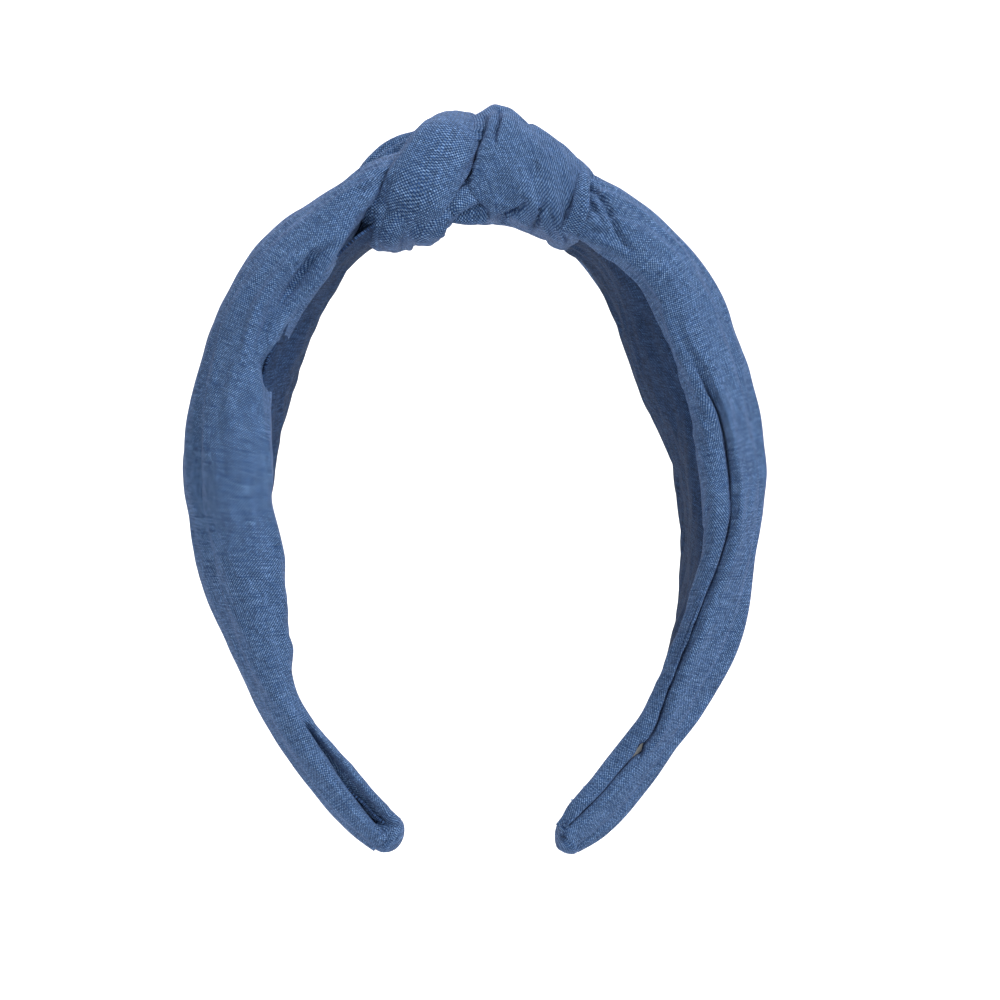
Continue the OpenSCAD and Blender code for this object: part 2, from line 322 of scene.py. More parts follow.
# Lines that run along the left cover, from the front hem round to the back hem. Each row is the
# distance s, the share of the cover's half depth, and the height n.
LEFT_LINES = [
    # front hem, turned in under the lining
    [
        (13, -0.4, 10), (25, -0.5, 4.5), (36, -0.5, 0.5), (50, -0.5, -0.2), (92, -0.5, -1.2),
        (188.5, -0.4, -1.2),
    ],
    # inside of the front rim
    [
        (13, -0.75, 10.4), (22, -0.8, 7), (30, -0.82, 3.6), (36, -0.84, 1.2), (44, -0.84, -0.1),
        (52, -0.84, 1), (60, -0.84, 2.7), (67, -0.84, 4.2), (74, -0.84, 1), (80, -0.84, -1.4),
        (92, -0.8, -4.6), (101, -0.78, -6.4), (112, -0.76, -7.9), (124, -0.74, -7.8), (134, -0.72, -7.2),
        (144, -0.7, -4.8), (152, -0.6, -5.2), (163, -0.6, -6), (174, -0.6, -5.6), (188.5, -0.6, -4.5),
    ],
    # front rim
    [
        (13, -0.9, 11), (17, -0.94, 10.4), (22, -0.96, 8), (30, -0.97, 5), (36, -0.97, 2.2),
        (44, -0.96, 0.8), (52, -0.96, 2.2), (60, -0.96, 4.2), (65, -0.97, 5.4), (67.4, -0.98, 6.6),
        (68.8, -0.97, 5.2), (71, -0.97, 3.9), (74, -0.97, 2), (80, -0.97, -0.4), (86, -0.96, -2.8),
        (92, -0.94, -4), (101, -0.92, -5.7), (112, -0.91, -7.4), (124, -0.9, -7.2), (134, -0.88, -6.6),
        (139, -0.86, -5.2), (144, -0.85, -3.8), (152, -0.82, -4.6), (163, -0.82, -5.3), (174, -0.82, -5),
        (188.5, -0.82, -3.8),
    ],
    # crease in the turned flap, then the slit towards the tip
    [
        (13, -0.93, 11.5), (22, -0.97, 8.9), (30, -0.98, 5.9), (36, -0.96, 3.3), (41, -0.9, 3.9),
        (46, -0.87, 4.1), (52, -0.88, 4.9), (58, -0.93, 6.2), (67, -1, 6.9), (74, -1, 4), (80, -1, 2),
        (92, -0.99, -0.8), (101, -0.98, -2.4), (112, -0.97, -4), (124, -0.97, -4), (134, -0.96, -3.8),
        (144, -0.96, -2.4), (152, -0.9, -3.4), (156, -0.7, -3.5), (164, -0.45, -3.1), (170, -0.22, -2.3),
        (174, -0.18, -2.2), (180, -0.18, -1.4), (185, -0.3, -0.8), (188.5, -0.7, -0.5),
    ],
    # outer lip of the crease
    [
        (13, -0.95, 11.7), (22, -0.98, 9.2), (30, -1, 6.2), (36, -1, 3.9), (41, -0.97, 4.7),
        (46, -0.96, 5.2), (52, -0.97, 6), (58, -1, 7), (67, -1.01, 7.3), (74, -1.01, 4.8), (92, -1, 0.4),
        (112, -1, -2.4), (134, -1, -2.6), (144, -1, -1.6), (152, -0.99, -2.4), (156, -0.98, -2.8),
        (164, -0.95, -2.6), (170, -0.9, -1.7), (180, -0.84, -0.7), (188.5, -0.86, 0),
    ],
    # ridge of the front roll
    [
        (13, -0.97, 12), (22, -1, 9.8), (30, -1.02, 7), (36, -1.03, 5.2), (41, -1.05, 6), (46, -1.07, 7),
        (52, -1.08, 8.2), (57, -1.07, 9.3), (62, -1.05, 9.2), (67, -1.03, 8.4), (74, -1.02, 6.6),
        (92, -1.01, 3), (112, -1, 0.4), (134, -1, -0.8), (150, -1, -0.6), (188.5, -0.96, 0.8),
    ],
    # front face
    [
        (13, -0.93, 12.6), (24, -0.96, 10.6), (36, -0.98, 8.2), (46, -0.97, 9.8), (57, -0.95, 11.6),
        (72, -0.94, 10.2), (92, -0.93, 7.4), (112, -0.93, 4.2), (134, -0.93, 1.4), (150, -0.92, 1),
        (188.5, -0.85, 1.8),
    ],
    # soft pleat
    [
        (13, -0.7, 13.4), (24, -0.74, 12.4), (37, -0.78, 11.6), (49, -0.76, 13.4), (59, -0.73, 14.6),
        (72, -0.72, 13.6), (84, -0.7, 12.4), (92, -0.69, 11.4), (112, -0.7, 8.2), (134, -0.72, 3.8),
        (150, -0.72, 2.8), (188.5, -0.65, 2.8),
    ],
    # hollow behind the soft pleat
    [
        (13, -0.6, 13.7), (24, -0.62, 12.8), (37, -0.66, 11.9), (49, -0.63, 13.2), (59, -0.61, 14.2),
        (72, -0.6, 13.4), (84, -0.58, 12.6), (92, -0.57, 12), (112, -0.58, 9.6), (134, -0.6, 5),
        (150, -0.6, 3.7), (188.5, -0.5, 3.3),
    ],
    # outer face towards the front
    [
        (13, -0.3, 14.2), (24, -0.3, 13.9), (36, -0.3, 13.8), (46, -0.3, 14.9), (65, -0.3, 16.1),
        (92, -0.3, 15.6), (103, -0.3, 14.2), (112, -0.3, 12.8), (121, -0.3, 10.4), (130, -0.3, 7.6),
        (142, -0.3, 5.5), (160, -0.3, 4.5), (180, -0.3, 4.2), (188.5, -0.3, 3.8),
    ],
    # top
    [
        (13, 0.05, 14.4), (23, 0.05, 14.5), (36, 0.05, 14.5), (45, 0.05, 15.4), (65, 0.05, 16.7),
        (78, 0.05, 16.9), (91, 0.05, 16.4), (102, 0.05, 15.3), (112, 0.05, 13.8), (121, 0.05, 11.3),
        (130, 0.05, 8.4), (142, 0.05, 6.1), (156, 0.05, 5.1), (168, 0.05, 4.7), (180, 0.05, 4.6),
        (188.5, 0.05, 4),
    ],
    # shoulder towards the back
    [
        (13, 0.5, 13.4), (24, 0.5, 13.3), (36, 0.5, 12.6), (50, 0.52, 13.4), (72, 0.52, 15),
        (92, 0.52, 14.3), (112, 0.52, 11.4), (130, 0.52, 7), (150, 0.52, 4.5), (188.5, 0.5, 3.2),
    ],
    # hollow in the back shoulder
    [
        (13, 0.66, 12.8), (24, 0.66, 12.4), (36, 0.66, 11.2), (50, 0.68, 11.4), (72, 0.7, 12.6),
        (92, 0.7, 11.8), (112, 0.7, 9.2), (130, 0.7, 5.4), (150, 0.7, 3.4), (188.5, 0.66, 2.6),
    ],
    # back ridge
    [
        (13, 0.84, 12.2), (24, 0.88, 11), (36, 0.9, 9.4), (50, 0.93, 9), (72, 0.93, 9.8), (92, 0.93, 9),
        (112, 0.93, 6.6), (130, 0.93, 3.2), (150, 0.93, 1.6), (188.5, 0.86, 1.4),
    ],
    # back face
    [
        (13, 0.94, 11.6), (24, 0.98, 9.4), (36, 1, 6.4), (50, 1.02, 5.2), (72, 1.02, 5), (92, 1.01, 3.6),
        (112, 1, 1.4), (130, 1, -0.6), (150, 1, -1), (188.5, 0.94, 0),
    ],
    # back rim
    [
        (13, 0.92, 11), (24, 0.96, 7.6), (36, 0.97, 3), (50, 0.97, 1.6), (72, 0.97, 1.2),
        (92, 0.96, -0.4), (112, 0.95, -3), (130, 0.93, -3.6), (150, 0.9, -3.6), (188.5, 0.82, -3),
    ],
    # inside of the back rim
    [
        (13, 0.75, 10.4), (24, 0.8, 6.2), (36, 0.84, 1.8), (50, 0.84, 0.4), (72, 0.84, 0),
        (92, 0.82, -1.6), (112, 0.78, -3.8), (130, 0.74, -4.4), (150, 0.7, -4.4), (188.5, 0.6, -4),
    ],
    # back hem, turned in under the lining
    [(13, 0.4, 10), (25, 0.5, 4.5), (36, 0.5, 0.5), (50, 0.5, -0.2), (92, 0.5, -1.2), (188.5, 0.4, -1.2)],
]

# The right cover is fuller, and its front hem shows as a narrow strip below the outer layer
RIGHT_LINES = [
    # front hem, turned in under the lining
    [
        (13, -0.4, 9), (25, -0.5, 3), (36, -0.5, 0.2), (50, -0.5, -0.2), (92, -0.5, 0.2),
        (112, -0.5, 0.6), (135, -0.5, -1), (188.5, -0.4, -1),
    ],
    # inside of the front rim
    [
        (13, -0.75, 9), (20, -0.8, 4), (26, -0.84, -1.4), (33, -0.84, -0.8), (40, -0.84, 0.4),
        (47, -0.84, 1.3), (60, -0.84, 0.2), (74, -0.84, 1.4), (86, -0.84, 0.6), (98, -0.84, 0.4),
        (108, -0.83, 0.6), (114, -0.8, -0.6), (120, -0.76, -2), (128, -0.72, -3.4), (136, -0.68, -4.6),
        (146, -0.66, -4.8), (156, -0.62, -4.2), (168, -0.62, -4.8), (180, -0.62, -4.6),
        (188.5, -0.6, -3.4),
    ],
    # front rim
    [
        (13, -0.88, 9.6), (20, -0.93, 4.6), (26, -0.97, -0.4), (33, -0.97, 0.5), (40, -0.97, 1.7),
        (47, -0.97, 2.6), (53, -0.97, 1.8), (60, -0.97, 1.3), (74, -0.97, 2.6), (84, -0.97, 1.9),
        (98, -0.97, 1.6), (108, -0.95, 1.8), (114, -0.92, 0.5), (120, -0.9, -1), (128, -0.88, -2.3),
        (136, -0.87, -3.7), (146, -0.86, -3.9), (156, -0.84, -3.4), (168, -0.84, -4), (180, -0.84, -3.9),
        (188.5, -0.8, -1.8),
    ],
    # hem strip
    [
        (13, -0.91, 10.2), (20, -0.96, 5.6), (26, -0.99, 1.2), (33, -0.99, 1.5), (47, -0.99, 3.2),
        (60, -0.985, 2), (70, -0.985, 3.2), (79, -0.99, 4.5), (88, -0.99, 5), (98, -0.99, 4.8),
        (108, -0.98, 3.2), (115, -0.97, 1.3), (123, -0.97, -0.9), (131, -0.96, -2), (139, -0.96, -2.5),
        (147, -0.95, -2.2), (156, -0.95, -0.9), (162, -0.95, -1.5), (170, -0.94, -2.2),
        (180, -0.94, -2.1), (188.5, -0.92, -1.6),
    ],
    # bottom of the groove between the strip and the outer layer, then the slit
    [
        (13, -0.92, 10.5), (20, -0.97, 6.2), (26, -1, 2), (33, -1, 2.2), (47, -1, 3.8), (60, -0.99, 2.4),
        (66, -0.97, 3), (70, -0.94, 3.8), (79, -0.85, 5), (88, -0.76, 5.5), (98, -0.7, 5.3),
        (108, -0.7, 3.6), (115, -0.7, 1.7), (123, -0.69, -0.5), (131, -0.68, -1.6), (139, -0.68, -2.1),
        (147, -0.68, -1.8), (156, -0.62, -0.4), (162, -0.56, -0.9), (170, -0.5, -1.4), (180, -0.48, -1.4),
        (188.5, -0.5, -1),
    ],
    # under side of the outer layer's edge
    [
        (13, -0.93, 10.8), (20, -0.98, 6.6), (26, -1.01, 2.6), (33, -1.01, 2.7), (47, -1.01, 4.3),
        (60, -1, 2.9), (66, -0.99, 3.4), (70, -0.97, 4), (79, -0.97, 5.2), (88, -0.97, 5.7),
        (98, -0.97, 5.5), (104, -0.97, 4.7), (108, -0.96, 3.8), (115, -0.95, 1.9), (123, -0.94, -0.3),
        (131, -0.93, -1.4), (139, -0.92, -1.9), (147, -0.9, -1.6), (156, -0.9, -0.2), (162, -0.9, -0.8),
        (170, -0.9, -1.5), (180, -0.9, -1.3), (188.5, -0.88, -0.7),
    ],
    # outer layer's edge
    [
        (13, -0.94, 11), (20, -0.99, 7), (26, -1.02, 3.4), (33, -1.02, 3.3), (47, -1.02, 4.9),
        (60, -1.02, 3.5), (70, -1.04, 4.8), (79, -1.05, 6.2), (88, -1.05, 6.8), (98, -1.05, 6.6),
        (108, -1.04, 5), (115, -1.04, 3), (123, -1.03, 0.9), (131, -1.03, -0.2), (139, -1.03, -0.6),
        (147, -1.03, -0.2), (156, -1, 0.8), (162, -1, -0.1), (170, -1, -0.7), (180, -0.99, -0.6),
        (188.5, -0.94, -0.2),
    ],
    # front face
    [
        (13, -0.9, 11.8), (24, -0.97, 7), (33, -0.99, 6.6), (47, -0.98, 8.6), (60, -0.97, 8),
        (79, -0.96, 9.2), (93, -0.95, 9.8), (109, -0.95, 8), (122, -0.94, 5.4), (132, -0.93, 3.4),
        (146, -0.92, 2.2), (160, -0.9, 2.2), (175, -0.88, 2), (188.5, -0.84, 1.8),
    ],
    # front ridge
    [
        (13, -0.76, 12.8), (24, -0.84, 10.6), (33, -0.84, 10.8), (47, -0.83, 12.6), (60, -0.82, 12.8),
        (79, -0.8, 12.6), (93, -0.79, 12.8), (109, -0.79, 11), (122, -0.78, 8.9), (132, -0.77, 7),
        (146, -0.76, 4.6), (160, -0.72, 4), (175, -0.7, 3.8), (188.5, -0.66, 3.2),
    ],
    # hollow behind the front ridge
    [
        (13, -0.66, 13.2), (24, -0.72, 12.1), (33, -0.72, 12.4), (47, -0.71, 14.2), (60, -0.7, 14.9),
        (79, -0.7, 13.2), (93, -0.69, 13), (109, -0.69, 11.3), (122, -0.68, 9.6), (132, -0.67, 8),
        (146, -0.66, 5.3), (160, -0.6, 4.8), (175, -0.58, 4.7), (188.5, -0.54, 3.9),
    ],
    # second ridge, near the outer edge
    [
        (13, -0.4, 14.4), (24, -0.44, 14.6), (33, -0.44, 15), (47, -0.44, 16.8), (60, -0.44, 18.6),
        (79, -0.44, 18.1), (93, -0.44, 16.9), (109, -0.44, 14.9), (122, -0.43, 13.6), (134, -0.42, 12.2),
        (146, -0.42, 8.9), (160, -0.4, 6.7), (175, -0.38, 6.6), (188.5, -0.36, 5),
    ],
    # groove between the second ridge and the top
    [
        (13, -0.26, 14.6), (24, -0.28, 15), (33, -0.28, 15.5), (47, -0.28, 17.3), (60, -0.28, 19.2),
        (79, -0.28, 18.4), (93, -0.28, 16.8), (109, -0.28, 14.9), (122, -0.28, 13.5), (134, -0.28, 12.4),
        (146, -0.27, 9), (160, -0.26, 7), (175, -0.25, 7), (188.5, -0.24, 5.3),
    ],
    # top
    [
        (13, 0.05, 15), (21, 0.05, 15.3), (28, 0.05, 15.8), (37, 0.05, 16.8), (48, 0.05, 18.2),
        (58, 0.05, 20.1), (69, 0.05, 20.7), (82, 0.05, 19.5), (95, 0.05, 17.9), (106, 0.05, 16.3),
        (119, 0.05, 14.8), (128, 0.05, 14.6), (138, 0.05, 12.6), (147, 0.05, 10), (158, 0.05, 7.9),
        (170, 0.05, 8.1), (181, 0.05, 7.5), (188.5, 0.05, 5.9),
    ],
    # shoulder towards the back
    [
        (13, 0.5, 13.6), (24, 0.5, 13.6), (36, 0.52, 14), (58, 0.54, 17), (82, 0.54, 16.8),
        (106, 0.54, 13.8), (128, 0.54, 11.4), (147, 0.52, 7.6), (170, 0.5, 6), (188.5, 0.5, 4.4),
    ],
    # hollow in the back shoulder
    [
        (13, 0.66, 12.8), (24, 0.68, 11.8), (36, 0.7, 11.6), (58, 0.72, 13.6), (82, 0.72, 13.4),
        (106, 0.72, 10.8), (128, 0.71, 8.2), (147, 0.7, 5.2), (170, 0.68, 4.2), (188.5, 0.66, 3.2),
    ],
    # back ridge
    [
        (13, 0.84, 12), (24, 0.9, 9.6), (36, 0.92, 9), (58, 0.94, 10.4), (82, 0.94, 10.6),
        (106, 0.94, 8.6), (128, 0.93, 5.2), (147, 0.92, 3), (170, 0.9, 2.2), (188.5, 0.86, 1.6),
    ],
    # back face
    [
        (13, 0.94, 11), (24, 1, 6), (36, 1.02, 4.6), (58, 1.02, 4.8), (82, 1.02, 5.6), (98, 1.01, 5.8),
        (113, 1, 5), (128, 1, 2), (147, 0.98, -0.4), (170, 0.96, -0.8), (188.5, 0.92, -0.4),
    ],
    # back rim
    [
        (13, 0.92, 10), (24, 0.96, 2.4), (36, 0.97, 0.8), (58, 0.96, -1), (82, 0.95, 0.4),
        (93, 0.95, 2.2), (103, 0.94, 3.2), (113, 0.93, 3.6), (128, 0.9, 0), (147, 0.88, -3),
        (170, 0.86, -3.6), (188.5, 0.82, -2.8),
    ],
    # inside of the back rim
    [
        (13, 0.75, 9), (24, 0.82, 1), (36, 0.84, -0.6), (58, 0.84, -2), (82, 0.84, -0.8), (93, 0.83, 1),
        (103, 0.82, 2), (113, 0.8, 2.2), (128, 0.76, -1), (147, 0.7, -3.6), (170, 0.66, -4.2),
        (188.5, 0.6, -3.6),
    ],
    # back hem, turned in under the lining
    [
        (13, 0.4, 9), (25, 0.5, 3), (36, 0.5, 0.2), (50, 0.5, -0.2), (92, 0.5, 0.4), (112, 0.5, 1),
        (135, 0.5, -1), (188.5, 0.4, -1),
    ],
]

# How far each cover's outside stands out past its lines, along the leg
OUTER_SWELL = {
    LEFT: [
        (13, 0.2), (20, 0.3), (26, -0.9), (32, -0.6), (38, 0.6), (44, 0.9), (62, 1), (68, 0.7), (80, 0.3),
        (92, -0.2), (98, -0.7), (104, -1.5), (116, -1.7), (122, -1.5), (134, -0.8), (150, -0.5), (186, 0),
    ],
    RIGHT: [
        (13, -0.5), (20, -1), (32, -0.9), (44, -1.2), (56, -1.4), (62, -2), (68, -1.4), (80, -1), (92, -0.8),
        (104, -1.5), (116, -2), (128, -1), (140, -0.5), (150, 0.1), (170, -0.5), (186, 0),
    ],
}
# How far each cover's rims are drawn up towards the band
RIM_TAKE_UP = {
    LEFT: [
        (70, 0), (80, 0.8), (92, 1.2), (98, 2), (104, 1.2), (122, 0.6), (128, 1.2), (140, 1), (150, 1.6),
        (158, 1.4), (164, 0.9), (170, 0.1), (188.5, 0),
    ],
    RIGHT: [
        (60, 0), (80, 2), (92, 2), (104, 2.8), (116, 5), (122, 4.7), (128, 3.4), (146, 3.4), (158, 3.9),
        (170, 3.2), (180, 2.8), (188.5, 3.6),
    ],
}
# Folds that deepen or rise along the leg
NO_FOLD = [(13, 0), (188.5, 0)]
PLEAT_RISE = [(13, 0), (30, 0.3), (92, 0.4), (140, 0.2)]
PLEAT_HOLLOW = [(13, 0), (24, -0.4), (37, -1.2), (92, -1.3), (134, -0.6), (170, -0.2)]
BACK_HOLLOW = [(24, 0), (40, -1), (120, -1), (160, -0.2)]
FRONT_RIM_RISE = [(120, 0), (134, 1), (146, 1), (156, 0.4), (164, 0.2), (182, 0.5), (188.5, 1.3)]
HEM_RISE = [(120, 0), (134, 0.2), (188.5, 0.3)]
GROOVE_RISE = [(60, 0), (70, 0.2), (150, 0.2)]
EDGE_RISE = [(60, 0), (70, 0.45), (150, 0.45), (188, 0.2)]
RIDGE_HOLLOW = [(24, 0), (40, -0.5), (60, -0.9), (92, -1.4), (140, -0.9), (170, -0.5)]
TOP_GROOVE = [(13, 0), (30, -0.2), (60, -0.6), (84, -1.3), (150, -1), (188, -0.4)]

# One row a line, in the order of the lines: its share of the outer swell, its share of the rim's take-up,
# how far it is lifted for the cloth's own thickness, and its fold
LEFT_SHAPING = [
    (0, 0, 0, NO_FOLD),
    (0, 1, -0.8, NO_FOLD),
    (0, 1, -0.6, NO_FOLD),
    (0, 0.6, 0, NO_FOLD),
    (0, 0.4, 0, NO_FOLD),
    (0, 0, 0.3, NO_FOLD),
    (0, 0, 0.4, NO_FOLD),
    (0.6, 0, 0.7, PLEAT_RISE),
    (0.8, 0, 0.8, PLEAT_HOLLOW),
    (1, 0, 0.9, NO_FOLD),
    (1, 0, 0.9, NO_FOLD),
    (0.9, 0, 0.9, NO_FOLD),
    (0.6, 0, 0.8, BACK_HOLLOW),
    (0.4, 0, 0.6, NO_FOLD),
    (0, 0, 0.2, NO_FOLD),
    (0, 1, -0.6, NO_FOLD),
    (0, 1, -0.8, NO_FOLD),
    (0, 0, 0, NO_FOLD),
]
RIGHT_SHAPING = [
    (0, 0, 0, NO_FOLD),
    (0, 0, -0.8, FRONT_RIM_RISE),
    (0, 0, -0.5, FRONT_RIM_RISE),
    (0, 0, -0.1, HEM_RISE),
    (0, 0, 0, GROOVE_RISE),
    (0, 0, 0.1, EDGE_RISE),
    (0, 0, 0.3, EDGE_RISE),
    (0, 0, 0.4, NO_FOLD),
    (0.3, 0, 0.7, NO_FOLD),
    (0.6, 0, 0.8, RIDGE_HOLLOW),
    (1, 0, 0.9, NO_FOLD),
    (1, 0, 0.9, TOP_GROOVE),
    (1, 0, 0.9, NO_FOLD),
    (0.9, 0, 0.9, NO_FOLD),
    (0.6, 0, 0.8, BACK_HOLLOW),
    (0, 0.35, 0.6, NO_FOLD),
    (0, 0.7, 0.2, NO_FOLD),
    (0, 1, -0.6, NO_FOLD),
    (0, 1, -0.8, NO_FOLD),
    (0, 0.5, 0, NO_FOLD),
]

# The lining's edges and its middle, as heights n along the leg
LEFT_LINING = {
    "front": [
        (22, 0.8), (44, 0.2), (67, 3.2), (80, 0.2), (100, -1.6), (124, -3.2), (150, -1.6), (186, -2.4),
    ],
    "swell": [
        (22, -1.5), (31, -1.7), (43, -3.9), (56, -4.3), (80, -4.5), (92, -4.3), (112, -4), (140, -2.8),
        (186, -2.2),
    ],
    "back": [(22, 1), (44, 0.6), (72, 0.4), (92, 0), (112, -1.6), (150, -1.4), (186, -2.2)],
    "middle": 0.05,
    "back_share": [(22, 1), (186, 1)],
}
RIGHT_LINING = {
    "front": [
        (22, 0.4), (33, 0.6), (47, 2), (60, 1), (74, 2), (98, 1.2), (110, 1.4), (120, -0.6), (136, -2.2),
        (186, -2),
    ],
    "swell": [
        (22, -1.5), (29, -1.6), (38, -2.9), (49, -4.6), (60, -6.1), (73, -5.1), (84, -2.8), (93, -1.5),
        (186, -1.5),
    ],
    "back": [
        (22, 0.6), (36, 0), (58, -1), (82, 1), (93, 2.6), (104, 4), (116, 5.8), (128, 3.6), (150, 1),
        (186, 0.6),
    ],
    "middle": 0.3,
    "back_share": [(22, 1), (70, 1), (96, 0.84), (150, 0.86), (186, 0.95)],
}


# Creases of the covers, as lines in the front view with a depth and a width
LEFT_CREASES = [
    ([(-38.4, -9.2), (-40.4, -12.6), (-42.6, -15.8), (-45, -19.4), (-47.4, -22.6)], 1.3, 0.7),
]
RIGHT_CREASES = [
    ([(39.6, -124.6), (38.8, -128.4), (37.6, -131)], 0.9, 0.6),
    ([(24.4, 8.4), (27.4, 6), (29.4, 2.6), (30.6, -1.8), (32.4, -6), (35.4, -10.4)], 1.5, 0.8),
    ([(25.4, 3.6), (27.4, 0), (28.6, -3.6)], 0.8, 0.8),
]


def leg_cover(name, side, lines, shaping, creases):
    """The cover of one leg: a sheet through its long lines, with small creases in the cloth."""
    s = np.linspace(COVER_FROM_S, COVER_TO_S, ROWS)
    half = keyed(COVER_HALF[side], s)
    swell = keyed(OUTER_SWELL[side], s)
    take_up = keyed(RIM_TAKE_UP[side], s)
    points = []
    for line, (swell_share, rim_share, lift, fold) in zip(lines, shaping):
        share, n = np.moveaxis(keyed(line, s), -1, 0)
        n = n + swell_share * swell + rim_share * take_up + lift + keyed(fold, s)
        points.append(np.stack([share * half, n], -1))
    section = through(np.stack(points, 1), SPAN_STEPS)
    y, n = section[..., 0], section[..., 1]
    across = lengths(section, 1)
    top = np.argmin(np.abs(section[ROWS // 3, :, 0]))
    across -= across[:, top : top + 1]
    along = np.repeat(s[:, None], y.shape[1], 1)
    grid = arch_place(side, along, y, n)
    normal = soft_normals(grid) * side
    soft = np.clip((s - COVER_FROM_S) / 12, 0, 1)[:, None]
    tighter = keyed([(13, 1), (60, 1), (120, 0.7), (188.5, 0.35)], s)[:, None]
    wave = 0.30 * ripples(along + 1.4 * across, across, 46, 9, 11 + side)
    wave = wave + 0.13 * ripples(along, across, 17, 4.2, 31 + side)
    pulled = np.exp(-((s[:, None] - 24) / 16) ** 2) * 0.22 * ripples(along, across, 60, 5, 51 + side)
    grid = grid + normal * (soft * tighter * wave + pulled)[..., None]
    for line, depth, width in creases:
        grid = creased(grid, line, depth, width, fade=(0.08, 0.3), normals=normal)
    weave = np.stack([across, along], -1)
    if side == LEFT:
        grid = grid[:, ::-1]
        weave = weave[:, ::-1]
    return sheet_piece(name, grid, weave, COVER_T)


def leg_lining(name, side, heights):
    """The lining of one leg: a strip that swells a little into the arch between the hems."""
    s = np.linspace(22, 186, 220)
    half = keyed(COVER_HALF[LEFT], s) * keyed([(22, 0.68), (36, 0.88), (92, 0.9), (130, 0.84), (186, 0.7)], s)
    back_half = half * keyed(heights["back_share"], s)
    middle = heights["middle"] * back_half
    turn = keyed([(22, 0.8), (40, 0.76), (90, 0.64), (186, 0.7)], s)
    front, swell, back = (keyed(heights[k], s) for k in ("front", "swell", "back"))
    points = [
        np.stack([-half, front], -1),
        np.stack([-0.62 * half, np.minimum(front * 0.5 + swell * 0.5, UNDER_BAND)], -1),
        np.stack([middle - 0.36 * half, np.minimum(front * 0.08 + swell * 0.92, UNDER_BAND)], -1),
        np.stack([middle, swell], -1),
        np.stack([middle + 0.3 * back_half, np.minimum(back * 0.1 + swell * 0.9, UNDER_BAND)], -1),
        np.stack([turn * back_half, np.minimum(back * 0.5 + swell * 0.5, UNDER_BAND)], -1),
        np.stack([back_half, back], -1),
    ]
    section = through(np.stack(points, 1), 12)
    across = lengths(section, 1)
    along = np.repeat(s[:, None], section.shape[1], 1)
    grid = arch_place(side, along, section[..., 0], section[..., 1])
    normal = surface_normals(grid) * side
    wave = 0.28 * ripples(along + 0.8 * across, across, 34, 12, 71 + side)
    wave = wave + 0.1 * ripples(along, across, 12, 5, 91 + side)
    grid = grid + normal * wave[..., None]
    weave = np.stack([across, along], -1)
    if side == RIGHT:
        grid = grid[:, ::-1]
        weave = weave[:, ::-1]
    return sheet_piece(name, grid, weave, LINING_T)


def crown_lining(name):
    """The lining over the crown, under the knot."""
    s = np.linspace(-27, 27, 100)
    y = np.linspace(-12, 12, 50)
    along, across = np.meshgrid(s, y, indexing="ij")
    n = -1.5 + 0.3 * np.abs(across / 12) ** 5
    side = np.where(along < 0, LEFT, RIGHT)
    grid = arch_place(1, np.abs(along), across, n)
    grid[..., 0] *= side
    grid[..., 2] += 0.12 * ripples(along, across, 20, 7, 5)
    return sheet_piece(name, grid[:, ::-1], np.stack([across, along], -1)[:, ::-1], LINING_T)


# The rounded ends of the cover, tucked in. Each row is a ring's s, top n, bottom n and half depth.
TIP_RINGS = {
    LEFT: [
        (184.5, 3.2, -3.6, 4.6),
        (187.6, 3.9, -4.2, 5.4),
        (188.6, 4.4, -4.8, 6.1),
        (189.8, 4.2, -4.8, 6),
        (190.9, 3.5, -4.1, 5.4),
        (191.8, 2.5, -2.9, 4.2),
        (192.4, 1.3, -1.5, 2.6),
        (192.6, 0.4, -0.5, 1),
    ],
    RIGHT: [
        (184.5, 5.6, -1.2, 4.6),
        (187.2, 5.8, -1.2, 5.4),
        (188.3, 6.2, -1.5, 6.1),
        (189.4, 6, -0.8, 6),
        (190.4, 5.2, 0.2, 5.2),
        (191.1, 4.3, 1.2, 4),
        (191.5, 3.4, 2, 2.4),
        (191.7, 3, 2.4, 1),
    ],
}
# Tuck creases of the tips in the front view
TIP_CREASES = {
    LEFT: [[(-23.4, -148.4), (-24.6, -149.4), (-27.4, -148.2)], [(-26.6, -147.6), (-26.4, -150.2)]],
    RIGHT: [[(20.6, -148), (22.6, -147), (24.6, -145.6)], [(26, -147.6), (25.4, -150), (24.4, -152.6)]],
}
LOOSE_THREADS = {
    LEFT: [
        [(-25.6, -4.6, -144.4), (-24.8, -6.2, -145.2), (-23.6, -6.6, -145.6), (-22.8, -6, -146.6)],
        [(-24.6, -4.6, -144.8), (-24.2, -6.4, -146), (-23, -6.9, -147.2), (-22.4, -6.2, -146.4)],
        [(-24, -5, -146.4), (-23.2, -6.6, -147), (-21.9, -6.8, -147.2)],
    ],
    RIGHT: [
        [(28.2, -4.6, -141.6), (27.6, -6.4, -142.4), (28.4, -7, -143.6), (28, -6.6, -145)],
        [(27.2, -4.6, -142.6), (26.6, -6.6, -143.2), (27, -7.2, -144.6)],
    ],
}


